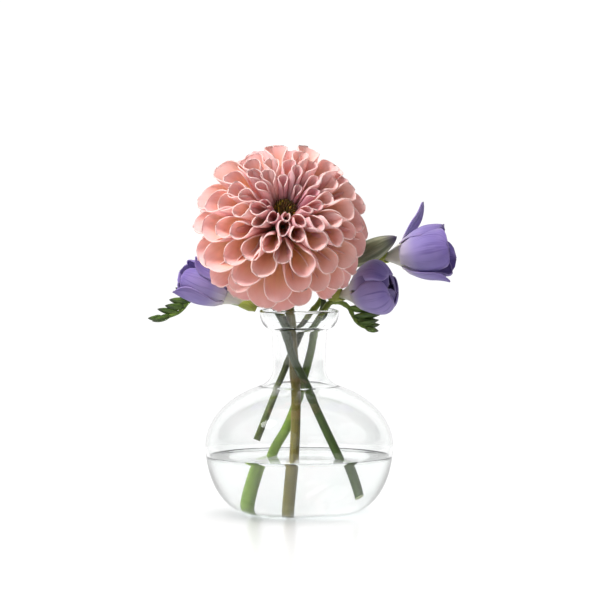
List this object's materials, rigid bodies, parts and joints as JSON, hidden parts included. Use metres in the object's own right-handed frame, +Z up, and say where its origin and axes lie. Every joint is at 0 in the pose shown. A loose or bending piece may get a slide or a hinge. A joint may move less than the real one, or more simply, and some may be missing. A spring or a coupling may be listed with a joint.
{
  "type": "bud vase",
  "caption": "Clear round-bodied glass bud vase with a narrow neck and flared collar, part-filled with water, holding a ball dahlia and freesia sprays that lift out.",
  "frame": {"origin": "centre of the vase's flat foot, on the surface it stands on", "axes": "+Z up along the vase's axis, -Y towards the front that the dahlia faces, +X to the right seen from the front"},
  "size_m": [0.165, 0.1204, 0.1981],
  "materials": {
    "vase_glass": "clear, blown, fire-polished",
    "water": "clear liquid",
    "dahlia_stem": "smooth olive-brown plant stem",
    "dahlia_bracts": "green bracts",
    "dahlia_eye": "closed green-brown florets",
    "dahlia_petal": "soft peach-pink petals with pale rims",
    "freesia_stem": "smooth green plant stem",
    "freesia_leaf": "dark green blade",
    "freesia_bud": "green bud",
    "freesia_large_bud": "closed bud, green to violet",
    "freesia_throat": "cream and green throat",
    "freesia_tepal": "violet tepals with fine veins",
    "freesia_stamen": "pale filaments and anthers"
  },
  "bodies": {
    "vase": {"glass_vase": "vase_glass", "water": "water"},
    "dahlia": {"dahlia_stem": "dahlia_stem", "dahlia_calyx": "dahlia_bracts", "dahlia_receptacle": "dahlia_bracts", "dahlia_eye": "dahlia_eye", "dahlia_florets_1": "dahlia_petal", "dahlia_florets_2": "dahlia_petal", "dahlia_florets_3": "dahlia_petal", "dahlia_florets_4": "dahlia_petal", "dahlia_florets_5": "dahlia_petal", "dahlia_florets_6": "dahlia_petal"},
    "freesia_a": {"freesia_a_stem": "freesia_stem", "freesia_a_leaf": "freesia_leaf", "freesia_a_spike": "freesia_stem", "freesia_a_bract": "freesia_bud", "freesia_a_tube": "freesia_throat", "freesia_a_outer_tepals": "freesia_tepal", "freesia_a_inner_tepals": "freesia_tepal", "freesia_a_stamens": "freesia_stamen", "freesia_a_buds": "freesia_bud"},
    "freesia_b": {"freesia_b_stem": "freesia_stem", "freesia_b_leaf": "freesia_leaf", "freesia_b_spike": "freesia_stem", "freesia_b_bract": "freesia_bud", "freesia_b_tube": "freesia_throat", "freesia_b_outer_tepals": "freesia_tepal", "freesia_b_inner_tepals": "freesia_tepal", "freesia_b_stamens": "freesia_stamen", "freesia_b_buds": "freesia_bud"},
    "freesia_c": {"freesia_c_stem": "freesia_stem", "freesia_c_spike": "freesia_stem", "freesia_c_bract": "freesia_bud", "freesia_c_tube": "freesia_throat", "freesia_c_outer_tepals": "freesia_tepal", "freesia_c_inner_tepals": "freesia_tepal", "freesia_c_stamens": "freesia_stamen", "freesia_c_bud": "freesia_large_bud"}
  },
  "joints": [
    {"name": "dahlia_lift", "type": "slide", "parent": "vase", "child": "dahlia", "axis": [0.0199, 0.0896, 0.9958], "range_m": [0, 0.11]},
    {"name": "freesia_a_lift", "type": "slide", "parent": "vase", "child": "freesia_a", "axis": [-0.375, 0.1509, 0.9147], "range_m": [0, 0.105]},
    {"name": "freesia_b_lift", "type": "slide", "parent": "vase", "child": "freesia_b", "axis": [0.2601, -0.0674, 0.9632], "range_m": [0, 0.11]},
    {"name": "freesia_c_lift", "type": "slide", "parent": "vase", "child": "freesia_c", "axis": [0.3856, 0.0918, 0.9181], "range_m": [0, 0.075]}
  ]
}
